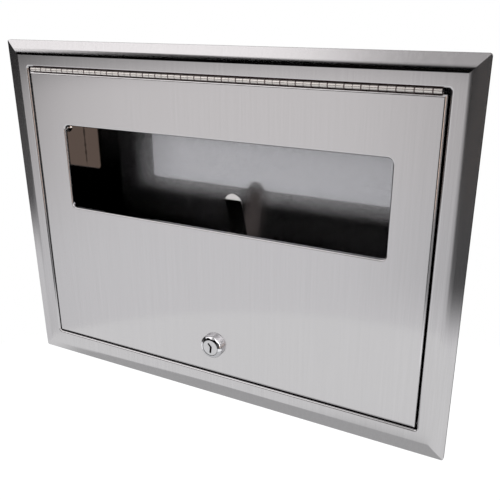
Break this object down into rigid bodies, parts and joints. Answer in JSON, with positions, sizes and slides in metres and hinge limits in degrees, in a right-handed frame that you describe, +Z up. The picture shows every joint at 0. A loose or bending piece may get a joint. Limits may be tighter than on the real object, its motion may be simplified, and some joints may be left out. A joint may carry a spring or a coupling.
{
  "type": "recessed toilet seat cover dispenser",
  "caption": "Recessed wall dispenser for folded toilet seat covers: bevelled steel flange, top-hinged door with a wide window, cam lock, shallow cabinet and paper tongue.",
  "frame": {"origin": "middle of the door opening, on the wall plane that the flange's rear rim rests on", "axes": "+X to the right as seen from the front, +Y into the wall, +Z up; the front faces -Y"},
  "size_m": [0.432, 0.0762, 0.322],
  "materials": {
    "flange_steel": "brushed, satin",
    "door_steel": "brushed vertically, satin",
    "cabinet_steel": "bright mill finish",
    "hinge_steel": "satin",
    "tongue_steel": "bright",
    "lock_chrome": "polished chrome plate",
    "lock_face": "satin chrome plate",
    "tumbler_brass": "stamped",
    "spring_steel": "drawn wire",
    "plated_steel": "zinc plate"
  },
  "bodies": {
    "housing": {"trim_flange": "flange_steel", "cabinet_shell": "cabinet_steel", "right_side_panel": "cabinet_steel", "left_side_panel": "cabinet_steel", "hinge_frame_leaf": "hinge_steel", "hinge_pin": "hinge_steel", "lock_keeper": "cabinet_steel", "paper_tongue": "tongue_steel", "mounting_screws": "plated_steel"},
    "door": {"door_panel": "door_steel", "hinge_door_leaf": "hinge_steel", "lock_housing": "lock_chrome", "lock_nut": "plated_steel"},
    "lock_core": {"lock_plug": "lock_face", "lock_tumblers": "tumbler_brass", "tumbler_springs": "spring_steel", "retaining_wafer": "tumbler_brass", "stop_washer": "plated_steel", "lock_cam": "plated_steel", "cam_washer": "plated_steel", "cam_screw": "plated_steel"}
  },
  "joints": [
    {"name": "door_hinge", "type": "hinge", "parent": "housing", "child": "door", "pos_m": [0, -0.0051, 0.13565], "axis": [-1, 0, 0], "range_deg": [0, 170]},
    {"name": "lock_turn", "type": "hinge", "parent": "door", "child": "lock_core", "pos_m": [0, -0.0048, -0.1065], "axis": [0, 1, 0], "range_deg": [0, 90]}
  ]
}
